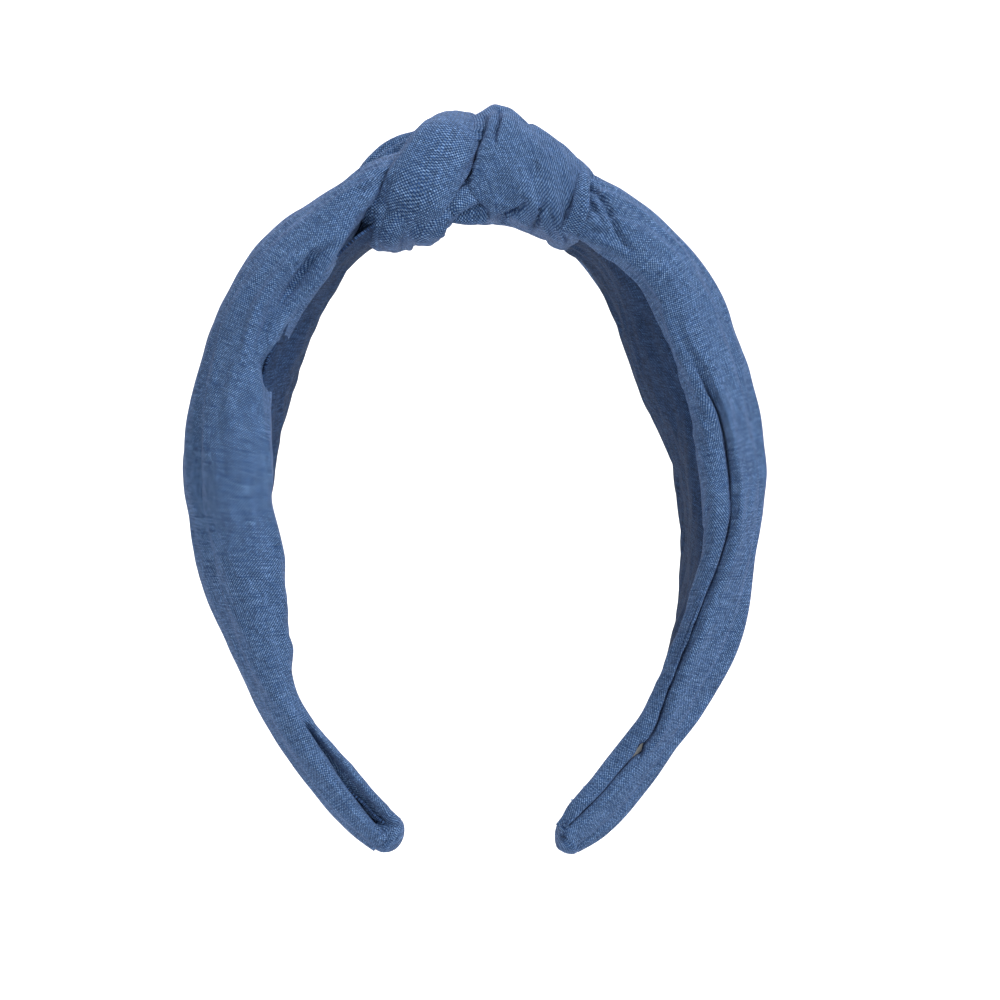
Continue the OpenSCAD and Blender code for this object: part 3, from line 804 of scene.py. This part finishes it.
def tip_tuck(side):
    """The closed end of one leg's cover, with a few loose threads at its fold."""
    ring = through(np.array(TIP_RINGS[side], float), 7)
    around = 120
    a = np.arange(around) / around * math.tau
    cos_a, sin_a = np.cos(a)[None, :], np.sin(a)[None, :]
    s, top, bottom, half = (ring[:, i : i + 1] for i in range(4))
    y = half * np.sign(cos_a) * np.abs(cos_a) ** 0.75
    n = (top + bottom) / 2 + (top - bottom) / 2 * np.sign(sin_a) * np.abs(sin_a) ** 0.75
    grid = arch_place(side, s, y, n)
    weave = np.stack([lengths(grid, 1), np.repeat(s, around, 1)], -1)
    if not surface_faces_out(grid):
        grid, weave = grid[:, ::-1], weave[:, ::-1]
    for line in TIP_CREASES[side]:
        grid = creased(grid, line, 1.2, 0.5, fade=(0, 0.2), looped_cols=True)
    rolls = [(grid, weave, False)]
    for i, path in enumerate(LOOSE_THREADS[side]):
        thread = [(*point, 0.13, 0.13, 0) for point in path]
        rolls.append(strap(thread, False, 8, 8, 5 + i, np.array([0.0, 0.0, -80.0]), 1.0, 0.02))
    return rolls


# ---------------------------------------------------------------- passes of the knot


def strap(path, looped, steps, around, seed, heart=None, square=0.8, rough=0.22):
    """A pass of bunched cloth. Each row of path is x, y, z, half width, half thickness and the
    lean of its width in degrees. It lies flat towards its heart, the middle of what it goes round."""
    line = through(path, steps, looped)
    centre = line[:, :3]
    if heart is None:
        heart = centre.mean(0) if looped else KNOT_HEART
    if looped:
        forward = np.roll(centre, -1, 0) - np.roll(centre, 1, 0)
    else:
        forward = np.gradient(centre, axis=0)
    forward /= np.linalg.norm(forward, axis=1, keepdims=True)
    out = centre - heart
    out -= (out * forward).sum(1, keepdims=True) * forward
    out /= np.linalg.norm(out, axis=1, keepdims=True)
    wide = np.cross(forward, out)
    lean = np.radians(line[:, 5:6])
    wide, out = wide * np.cos(lean) + out * np.sin(lean), out * np.cos(lean) - wide * np.sin(lean)
    a = np.arange(around) / around * math.tau
    cos_a, sin_a = np.cos(a), np.sin(a)
    u = np.sign(cos_a) * np.abs(cos_a) ** square
    v = np.sign(sin_a) * np.abs(sin_a) ** square
    along = lengths(centre[:, None], 0)
    girth = 2.6 * (line[:, 3:4] + line[:, 4:5])
    across = a[None, :] / math.tau * girth
    bump = rough * (ripples(along, across, 30, 5, seed) + 0.45 * ripples(along, across, 11, 3, seed + 1))
    grid = (
        centre[:, None]
        + wide[:, None] * (line[:, 3:4] * u + bump * cos_a)[..., None]
        + out[:, None] * (line[:, 4:5] * v + bump * sin_a)[..., None]
    )
    weave = np.stack(np.broadcast_arrays(across, along), -1)
    return grid, weave, looped


def right_wrap_bundle():
    """The broad pass at the right of the knot, as rings round the band that lean with the knot.
    Each row is the ring's x, top z, bottom z, front depth and back depth."""
    rings = [
        (-13, 18, 4, 10, 10),
        (-7, 23, 1.6, 16, 15),
        (-2, 26, 0.6, 19, 17.6),
        (1, 27.4, 0.4, 20, 18.4),
        (4, 26.6, 0.3, 20.4, 18.8),
        (6.6, 25.2, 0.3, 20.8, 19),
        (8.6, 23.9, 0.4, 21, 19),
        (10.5, 23.2, 0.1, 20.9, 18.8),
        (14, 21, -0.8, 20.4, 18),
        (17.5, 18.6, -2.2, 19.2, 17),
        (20.5, 16.4, -3.4, 17.6, 15.6),
        (23, 14.4, -4.4, 15.6, 14.4),
        (26, 12, -3, 12, 12),
    ]
    sag = 0.14
    lean = 0.27
    table = np.array(rings, float)
    x = np.linspace(table[0, 0], table[-1, 0], 150)
    top, bottom, front, back = np.moveaxis(keyed(rings, x), -1, 0)
    around = 330
    a = np.arange(around) / around * math.tau
    cos_a, sin_a = np.cos(a)[None, :], np.sin(a)[None, :]
    middle, half = ((top + bottom) / 2)[:, None], ((top - bottom) / 2)[:, None]
    deep = np.where(cos_a > 0, back[:, None], front[:, None])
    y = deep * np.sign(cos_a) * np.abs(cos_a) ** np.where(sin_a < 0, 0.5, 0.86)
    z = middle + half * np.sign(sin_a) * np.abs(sin_a) ** np.where(sin_a < 0, 0.8, 0.9)
    z = z + sag * np.minimum(y, 0) * np.clip(-sin_a, 0, 1)
    grid = np.stack([x[:, None] + lean * (z - middle), y, z], -1)
    along = np.repeat(x[:, None] - x[0], around, 1)
    across = lengths(grid, 1)
    normal = surface_normals(grid, looped_cols=True)
    if ((grid[80] - grid[80].mean(0)) * normal[80]).sum() < 0:
        normal = -normal
    wave = 0.3 * ripples(along - 0.6 * across, across, 30, 11, 3) + 0.1 * ripples(along, across, 8, 4, 4)
    grid = grid + normal * wave[..., None]
    return grid, along, across


def press(grid, line, depth, width, **more):
    return creased(grid, line, depth, width, looped_cols=True, **more)


def right_wrap():
    grid, along, across = right_wrap_bundle()
    sign = 1 if surface_faces_out(grid) else -1
    # pleat beside the left wrap
    grid = press(grid, [(5.4, 27), (4.6, 22.8), (3.4, 19), (2.7, 14)], sign * 2, 0.45, fade=(0.3, 0.4))
    # groove beside the left wrap
    beside_wrap = [(1.4, 24), (-0.6, 18.1), (-2.2, 14.1), (-3.2, 10.1), (-4.4, 5.9)]
    grid = press(grid, beside_wrap, sign * 2.4, 0.8, fade=(0.15, 0.1))
    # soft fold down the middle
    grid = press(grid, [(10.6, 18.6), (11.8, 13), (12.4, 8), (11.4, 3.4)], sign * 0.5, 1.3, fade=(0.3, 0.4))
    # step at the shoulder
    grid = press(grid, [(11.2, 26), (12.4, 23), (13.4, 20), (14.4, 15.5)], sign * 0.6, 0.7, fade=(0.3, 0.7))
    # crease of the pouch underneath
    grid = press(grid, [(3.4, -1.6), (6.2, -0.3), (9.4, 1.1), (10.6, 3)], sign * 2.2, 0.5, fade=(0, 0.4))
    # crease that starts the right lobe
    grid = press(grid, [(13.2, -3), (14.2, 0.4), (15.6, 2.6)], sign * 2, 0.6, fade=(0, 0.6))
    # hollow at the lower left, where the pass leaves the middle
    grid = press(grid, [(-4.6, 5.4), (-2.8, 3), (-0.6, 1.2), (2.4, -1)], sign * 2.2, 0.9, fade=(0, 0.2))
    # creases at the back
    grid = press(grid, [(6, 26), (7.4, 20), (8.2, 13), (8, 6)], sign * 1.2, 0.6, back=True, fade=(0, 0.5))
    grid = press(grid, [(14, 22), (15, 15), (14.6, 8)], sign * 0.9, 0.7, back=True, fade=(0, 0.5))
    turn = math.radians(-38)
    u = across * math.cos(turn) - along * math.sin(turn)
    v = across * math.sin(turn) + along * math.cos(turn) + 0.012 * (across - 60) ** 2
    weave = np.stack([u, v], -1)
    if sign < 0:
        grid, weave = grid[:, ::-1], weave[:, ::-1]
    return grid, weave, False


def surface_faces_out(grid):
    """Whether the normals of a closed roll point away from its middle."""
    row = len(grid) // 2
    normal = surface_normals(grid, looped_cols=True)[row]
    return ((grid[row] - grid[row].mean(0)) * normal).sum() > 0


def outward_roll(roll):
    grid, weave, looped = roll
    if surface_faces_out(grid):
        return roll
    return grid[:, ::-1], weave[:, ::-1], looped


def left_wrap():
    """The smooth broad pass at the left, from the top down the front, under and up the back."""
    path = [
        (-2.8, -2, 23, 5.8, 3.2, -22),
        (-5.8, -12, 19.2, 6.8, 4, -14),
        (-10.6, -18, 12.2, 8, 4.4, -2),
        (-15.2, -18.4, 4.8, 8, 4, 0),
        (-18.6, -13.4, -0.6, 6.4, 3, 0),
        (-19.6, -3, -3.8, 5, 1.8, 0),
        (-18.8, 7, -3.2, 5, 1.8, 0),
        (-16.2, 15, 2, 6.4, 3, 0),
        (-11.4, 17.6, 10, 7.6, 3.8, 0),
        (-5.4, 11.4, 18, 6.6, 3.8, 12),
    ]
    grid, weave, looped = strap(path, True, 26, 130, 21)
    return grid, weave, looped


def lower_rolls():
    """Folds of the left wrap that show below and beside it."""
    beside = [
        (-18.4, -9, 12.5, 2.2, 1.8, 0),
        (-21, -13, 8.6, 2.8, 2.4, 0),
        (-23.2, -14.4, 3.4, 3.2, 2.6, 0),
        (-24.4, -13, -1.4, 3.2, 2.6, 0),
        (-24.2, -8.6, -4.4, 3, 2.4, 0),
        (-23, -2, -5, 2.8, 2.2, 0),
        (-21.4, 5, -4.6, 2.6, 2, 0),
    ]
    lower_left = [
        (-15.4, -15, 2.6, 2.6, 2.2, 0),
        (-19.2, -15.6, -0.8, 3, 2.5, 0),
        (-21.2, -13, -3.9, 3.4, 2.7, 0),
        (-21.2, -7.6, -5.1, 3.4, 2.6, 0),
        (-20, -1, -5, 3.2, 2.4, 0),
        (-18.6, 6, -4, 3, 2.2, 0),
    ]
    lower_right = [
        (-6.8, -15, 3.8, 3, 2.4, 0),
        (-10, -16.2, 0.6, 4, 3, 0),
        (-12.6, -14, -2.4, 5, 3.4, 0),
        (-13, -8.6, -3.7, 5, 3, 0),
        (-12.4, -1.6, -3.2, 4.6, 2.6, 0),
        (-11.6, 6, -2.4, 4, 2.2, 0),
    ]
    inner_fold = [
        (0.4, -14, 5.4, 2, 1.8, 0),
        (-3.2, -16.6, 3.8, 2.4, 2, 0),
        (-6.4, -16.6, 1.6, 2.4, 2, 0),
        (-7.8, -13, -0.4, 2.2, 1.8, 0),
        (-8, -6, -0.9, 2, 1.6, 0),
    ]
    underside = [
        (-10, -10, 1.6, 2.2, 1.6, 0),
        (-6.4, -12.6, 0.9, 2.8, 2, 0),
        (-2.4, -13.6, 0.6, 3, 2, 0),
        (1.6, -13, 0.6, 2.6, 1.8, 0),
    ]
    rolls = (beside, lower_left, lower_right, inner_fold, underside)
    heart = np.array([-14.0, 0.0, 5.0])
    return [strap(path, False, 14, 60, 41 + 3 * i, heart) for i, path in enumerate(rolls)]


def cinch():
    """The narrow pass that holds the cloth where it leaves the knot at the right."""
    path = [
        (25.4, -3, 12.2, 1.4, 1.6, 0),
        (25, -10.4, 11, 1.5, 1.8, 0),
        (24.4, -15.6, 7, 1.7, 2, 0),
        (23.6, -17.2, 1.8, 2, 2.1, 0),
        (22.4, -14.8, -2.2, 2.8, 2, 0),
        (21.4, -8, -3.4, 3.5, 1.8, 0),
        (21.2, 0, -3.6, 3.5, 1.8, 0),
        (21.6, 9, -3, 3.1, 2, 0),
        (23, 15.2, 1.4, 2.4, 2, 0),
        (24.6, 13, 8, 2, 2, 0),
        (25.4, 6, 11.8, 1.6, 1.8, 0),
    ]
    grid, weave, looped = strap(path, True, 18, 72, 61)
    return grid, weave, looped


def back_loop():
    """The roll behind the knot at the upper left."""
    path = [
        (-5, 6, 22, 3.2, 2.2, 0),
        (-12, 8.4, 20.6, 3.6, 2.6, 0),
        (-18.6, 10, 17.8, 3.8, 2.8, 0),
        (-24, 10.6, 13.4, 3.8, 2.8, 0),
        (-27, 10.8, 8, 3.6, 2.6, 0),
        (-28, 10.6, 2, 3.4, 2.2, 0),
        (-27, 9, -3.4, 3, 1.8, 0),
    ]
    inner = [
        (-8, 0, 21, 2.4, 1.6, 0),
        (-15, 1.6, 18.6, 2.6, 1.8, 0),
        (-21, 3, 14.8, 2.6, 1.8, 0),
        (-25, 4, 10, 2.2, 1.6, 0),
    ]
    return [strap(path, False, 16, 64, 75), strap(inner, False, 16, 56, 79)]


# ---------------------------------------------------------------- finishes


def node(tree, kind, **settings):
    made = tree.nodes.new(kind)
    for key, value in settings.items():
        setattr(made, key, value)
    return made


def math_node(tree, operation, a, b=None, c=None):
    made = node(tree, "ShaderNodeMath", operation=operation)
    for i, value in enumerate((a, b, c)):
        if value is None:
            continue
        if hasattr(value, "is_output"):
            tree.links.new(value, made.inputs[i])
        else:
            made.inputs[i].default_value = value
    return made.outputs[0]


def mix_colour(tree, share, a, b, blend="MIX"):
    made = node(tree, "ShaderNodeMix", data_type="RGBA", blend_type=blend)
    for socket, value in ((made.inputs[0], share), (made.inputs[6], a), (made.inputs[7], b)):
        if hasattr(value, "is_output"):
            tree.links.new(value, socket)
        else:
            socket.default_value = value
    return made.outputs[2]


def noise(tree, vector, scale, detail=2.0, rough=0.5):
    made = node(tree, "ShaderNodeTexNoise")
    made.inputs["Scale"].default_value = scale
    made.inputs["Detail"].default_value = detail
    made.inputs["Roughness"].default_value = rough
    tree.links.new(vector, made.inputs["Vector"])
    return made.outputs["Fac"]


def colour(r, g, b):
    """A screen colour, 0 to 255, as the linear colour that a shader takes."""

    def linear(c):
        c = c / 255
        return c / 12.92 if c <= 0.04045 else ((c + 0.055) / 1.055) ** 2.4

    return (linear(r), linear(g), linear(b), 1.0)


def stretched(tree, vector, x, y, turn=0.0):
    made = node(tree, "ShaderNodeMapping")
    made.inputs["Scale"].default_value = (x, y, 1)
    made.inputs["Rotation"].default_value = (0, 0, turn)
    tree.links.new(vector, made.inputs["Vector"])
    return made.outputs[0]


def chambray(name, dark, light, sheen, turn=0.0, bump=0.5):
    """Plain-weave chambray: coloured warp, paler weft, uneven slubbed threads and a soft nap."""
    material = bpy.data.materials.new(name)
    material.use_nodes = True
    tree = material.node_tree
    shader = tree.nodes["Principled BSDF"]
    weave_map = node(tree, "ShaderNodeUVMap", uv_map="weave").outputs[0]
    per_metre = 1 / (WEAVE_PITCH * MM)
    wander = noise(tree, stretched(tree, weave_map, 160, 160), 1.0, 2.0)
    wander = math_node(tree, "MULTIPLY_ADD", wander, 1.7, -0.85)
    turned = stretched(tree, weave_map, per_metre, per_metre, turn)
    split = node(tree, "ShaderNodeSeparateXYZ")
    tree.links.new(turned, split.inputs[0])
    x = math_node(tree, "ADD", split.outputs[0], wander)
    y = math_node(tree, "ADD", split.outputs[1], wander)
    warp_row, weft_row = math_node(tree, "FLOOR", x), math_node(tree, "FLOOR", y)
    rows = math_node(tree, "ADD", warp_row, weft_row)
    over = math_node(tree, "PINGPONG", rows, 1.0)
    warp_round = math_node(tree, "SINE", math_node(tree, "MULTIPLY", math_node(tree, "FRACT", x), math.pi))
    weft_round = math_node(tree, "SINE", math_node(tree, "MULTIPLY", math_node(tree, "FRACT", y), math.pi))
    warp_top = math_node(tree, "MULTIPLY", warp_round, over)
    weft_top = math_node(tree, "MULTIPLY", weft_round, math_node(tree, "SUBTRACT", 1.0, over))
    height = math_node(tree, "ADD", warp_top, weft_top)
    cross = node(tree, "ShaderNodeCombineXYZ")
    tree.links.new(warp_row, cross.inputs[0])
    tree.links.new(weft_row, cross.inputs[1])
    uneven = node(tree, "ShaderNodeTexWhiteNoise", noise_dimensions="2D")
    tree.links.new(cross.outputs[0], uneven.inputs["Vector"])
    fleck = math_node(tree, "MULTIPLY_ADD", uneven.outputs["Value"], 0.7, 0.66)
    slub_warp = noise(tree, stretched(tree, turned, 0.9, 0.07), 1.0, 2.0)
    slub_weft = noise(tree, stretched(tree, turned, 0.06, 0.9), 1.0, 2.0)
    fibre = noise(tree, turned, 1.7, 3.0, 0.7)
    cloud = noise(tree, weave_map, 90, 3.0, 0.6)
    pale = math_node(tree, "MULTIPLY_ADD", slub_weft, 1.5, -0.3)
    thread_mix = math_node(tree, "SUBTRACT", 1.0, over)
    thread_mix = math_node(tree, "MULTIPLY", thread_mix, pale)
    base = mix_colour(tree, thread_mix, dark, light)
    streak = math_node(tree, "MULTIPLY_ADD", slub_warp, 0.9, 0.55)
    streak = math_node(tree, "MULTIPLY", streak, math_node(tree, "MULTIPLY_ADD", fibre, 0.9, 0.55))
    streak = math_node(tree, "MULTIPLY", streak, math_node(tree, "MULTIPLY_ADD", cloud, 0.35, 0.83))
    streak = math_node(tree, "MULTIPLY", streak, fleck)
    # Colour darker towards each thread's edges and in the gaps between threads, following the threads'
    # roundness: painted shade of the weave's relief
    painted_thread_shade = math_node(tree, "MULTIPLY_ADD", height, 0.85, 0.3)
    value = math_node(tree, "MULTIPLY", streak, painted_thread_shade)
    grey = node(tree, "ShaderNodeCombineXYZ")
    for i in range(3):
        tree.links.new(value, grey.inputs[i])
    base = mix_colour(tree, 1.0, base, grey.outputs[0], "MULTIPLY")
    tree.links.new(base, shader.inputs["Base Color"])
    raised = math_node(tree, "MULTIPLY_ADD", fibre, 0.5, height)
    raised = math_node(tree, "MULTIPLY_ADD", slub_weft, 0.8, raised)
    bumped = node(tree, "ShaderNodeBump")
    bumped.inputs["Strength"].default_value = bump
    bumped.inputs["Distance"].default_value = 0.00012
    tree.links.new(raised, bumped.inputs["Height"])
    tree.links.new(bumped.outputs[0], shader.inputs["Normal"])
    rough = math_node(tree, "MULTIPLY_ADD", fibre, 0.15, 0.78)
    tree.links.new(rough, shader.inputs["Roughness"])
    shader.inputs["Specular IOR Level"].default_value = 0.12
    shader.inputs["Sheen Weight"].default_value = sheen
    shader.inputs["Sheen Roughness"].default_value = 0.45
    shader.inputs["Sheen Tint"].default_value = colour(160, 172, 226)
    return material


def moulded_plastic(name):
    material = bpy.data.materials.new(name)
    material.use_nodes = True
    tree = material.node_tree
    shader = tree.nodes["Principled BSDF"]
    place = node(tree, "ShaderNodeTexCoord").outputs["Object"]
    grain = noise(tree, place, 900, 3.0)
    flow = noise(tree, place, 35, 2.0)
    base = mix_colour(tree, flow, colour(206, 206, 202), colour(224, 223, 217))
    tree.links.new(base, shader.inputs["Base Color"])
    bumped = node(tree, "ShaderNodeBump")
    bumped.inputs["Strength"].default_value = 0.15
    bumped.inputs["Distance"].default_value = 0.0001
    tree.links.new(grain, bumped.inputs["Height"])
    tree.links.new(bumped.outputs[0], shader.inputs["Normal"])
    tree.links.new(math_node(tree, "MULTIPLY_ADD", grain, 0.2, 0.38), shader.inputs["Roughness"])
    return material


def spun_thread(name):
    material = bpy.data.materials.new(name)
    material.use_nodes = True
    tree = material.node_tree
    shader = tree.nodes["Principled BSDF"]
    place = node(tree, "ShaderNodeTexCoord").outputs["Object"]
    twist = node(tree, "ShaderNodeTexWave", bands_direction="DIAGONAL")
    twist.inputs["Scale"].default_value = 1400
    twist.inputs["Distortion"].default_value = 2.0
    tree.links.new(place, twist.inputs["Vector"])
    base = mix_colour(tree, twist.outputs["Fac"], colour(86, 112, 152), colour(150, 172, 204))
    tree.links.new(base, shader.inputs["Base Color"])
    bumped = node(tree, "ShaderNodeBump")
    bumped.inputs["Strength"].default_value = 0.4
    bumped.inputs["Distance"].default_value = 0.0001
    tree.links.new(twist.outputs["Fac"], bumped.inputs["Height"])
    tree.links.new(bumped.outputs[0], shader.inputs["Normal"])
    shader.inputs["Roughness"].default_value = 0.7
    shader.inputs["Sheen Weight"].default_value = 0.2
    return material


def give(piece, material):
    piece.data.materials.clear()
    piece.data.materials.append(material)


DARK = colour(36, 62, 102)
LIGHT = colour(126, 158, 200)
cover_cloth = chambray("chambray_cover", DARK, LIGHT, 0.14, math.radians(4))
knot_cloth = chambray("chambray_knot", DARK, LIGHT, 0.14, math.radians(8))
# The lining is the same chambray in darker colours: painted shade, because the lining lies in shade inside
# the arch and under the knot
lining_cloth_painted_shade = chambray("chambray_lining_painted_shade", colour(15, 30, 58), colour(72, 104, 150), 0.0, math.radians(18))
band_plastic = moulded_plastic("band_plastic")
sewing_thread = spun_thread("sewing_thread")


# ---------------------------------------------------------------- the pieces


def bend_over_hinge(piece, side):
    start, end = (Vector(arch_place(side, s, 0.0, 0.0) * MM) for s in (BLEND_FROM_S, BLEND_TO_S))
    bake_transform(piece)


# The cover of each leg, in place of the band's own cover part
left_cover = leg_cover("left_cover_cloth", LEFT, LEFT_LINES, LEFT_SHAPING, LEFT_CREASES)
right_cover = leg_cover("right_cover_cloth", RIGHT, RIGHT_LINES, RIGHT_SHAPING, RIGHT_CREASES)
for cover, side in ((left_cover, LEFT), (right_cover, RIGHT)):
    word = "left" if side == LEFT else "right"
    give(cover, cover_cloth)
    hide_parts(word + "_cover")
    bend_over_hinge(cover, side)

left_lining = leg_lining("left_lining_cloth", LEFT, LEFT_LINING)
right_lining = leg_lining("right_lining_cloth", RIGHT, RIGHT_LINING)
for lining, side in ((left_lining, LEFT), (right_lining, RIGHT)):
    word = "left" if side == LEFT else "right"
    give(lining, lining_cloth_painted_shade)
    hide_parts(word + "_facing")
    bend_over_hinge(lining, side)

crown_strip = crown_lining("crown_lining_cloth")
give(crown_strip, lining_cloth_painted_shade)
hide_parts("crown_facing")
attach(crown_strip, "crown")

KNOT_PIECES = [
    ("knot_right_wrap_cloth", [right_wrap()], ("knot_right_wrap", "knot_core"), (0.046, 0.056)),
    ("knot_left_wrap_cloth", [left_wrap()], ("knot_left_wrap",), (0.021, 0.096)),
    ("knot_lower_folds_cloth", lower_rolls(), ("knot_underside",), (0.013, 0.100)),
    ("knot_cinch_cloth", [cinch()], ("knot_cinch",), (0.010, 0.065)),
    ("knot_back_loop_cloth", back_loop(), ("knot_back_loop",), (0.017, 0.035)),
]
knot_pieces = []
for name, rolls, nodes, flat in KNOT_PIECES:
    piece = roll_piece(name, [outward_roll(roll) for roll in rolls])
    give(piece, knot_cloth)
    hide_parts(*nodes)
    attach(piece, "crown")
    knot_pieces.append(piece)

for word, side in (("left", LEFT), ("right", RIGHT)):
    tip = roll_piece(word + "_tip_tuck_cloth", [outward_roll(roll) for roll in tip_tuck(side)])
    give(tip, cover_cloth)
    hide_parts(word + "_tip_tuck")
    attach(tip, word + "_leg")
    give(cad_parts["base_" + word + "_leg"], band_plastic)
    give(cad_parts[word + "_tip_stitches"], sewing_thread)
give(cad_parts["base_crown"], band_plastic)


# ---------------------------------------------------------------- stage, light and camera

TARGET = Vector((6.33, 0, -67.3)) * MM
VIEW_DISTANCE = 0.56
VIEW_TURN = math.radians(6)
VIEW_WIDTH = 0.2422
FLOOR_Z = -0.42


def studio():
    """A pale floor that sweeps up into a backdrop."""
    depth = [(-3, 0), (1.2, 0), (1.7, 0.08), (2.0, 0.3), (2.15, 0.7), (2.2, 3.2)]
    line = through(np.array(depth, float), 8)
    points, faces = [], []
    for y, z in line:
        points += [(-4, y, FLOOR_Z + z), (4, y, FLOOR_Z + z)]
    for i in range(len(line) - 1):
        faces.append((2 * i, 2 * i + 1, 2 * i + 3, 2 * i + 2))
    mesh = bpy.data.meshes.new("floor")
    mesh.from_pydata(points, [], faces)
    floor = bpy.data.objects.new("floor", mesh)
    bpy.context.scene.collection.objects.link(floor)
    paper = bpy.data.materials.new("white_paper")
    paper.use_nodes = True
    shader = paper.node_tree.nodes["Principled BSDF"]
    shader.inputs["Base Color"].default_value = (0.93, 0.93, 0.93, 1)
    shader.inputs["Roughness"].default_value = 1.0
    shader.inputs["Specular IOR Level"].default_value = 0.0
    floor.data.materials.append(paper)


def soft_light(name, place, aim, size, power):
    light = bpy.data.lights.new(name, "AREA")
    light.shape = "DISK"
    light.size = size
    light.energy = power
    lamp = bpy.data.objects.new(name, light)
    lamp.location = place
    lamp.rotation_euler = (Vector(aim) - Vector(place)).to_track_quat("-Z", "Y").to_euler()
    bpy.context.scene.collection.objects.link(lamp)


def lights():
    world = bpy.data.worlds.new("studio")
    bpy.context.scene.world = world
    world.use_nodes = True
    world.node_tree.nodes["Background"].inputs[0].default_value = (1, 1, 1, 1)
    world.node_tree.nodes["Background"].inputs[1].default_value = 0.6
    heart = (0, 0, -0.06)
    soft_light("key", (0.75, -0.9, 1.1), heart, 0.5, 28)
    soft_light("fill", (-1.1, -1.2, 0.2), heart, 0.9, 4)
    soft_light("backdrop_light", (0, 0.9, 1.6), (0, 2.2, 0.1), 1.2, 40)


def camera():
    data = bpy.data.cameras.new("camera")
    data.sensor_width = 36
    data.lens = 36 * VIEW_DISTANCE / VIEW_WIDTH
    data.clip_start = 0.01
    data.clip_end = 20
    eye = bpy.data.objects.new("camera", data)
    forward = Vector((math.sin(VIEW_TURN), math.cos(VIEW_TURN), 0))
    eye.location = TARGET - VIEW_DISTANCE * forward
    eye.rotation_euler = forward.to_track_quat("-Z", "Y").to_euler()
    bpy.context.scene.collection.objects.link(eye)
    bpy.context.scene.camera = eye


studio()
lights()
camera()
bpy.context.scene.view_settings.view_transform = "Standard"
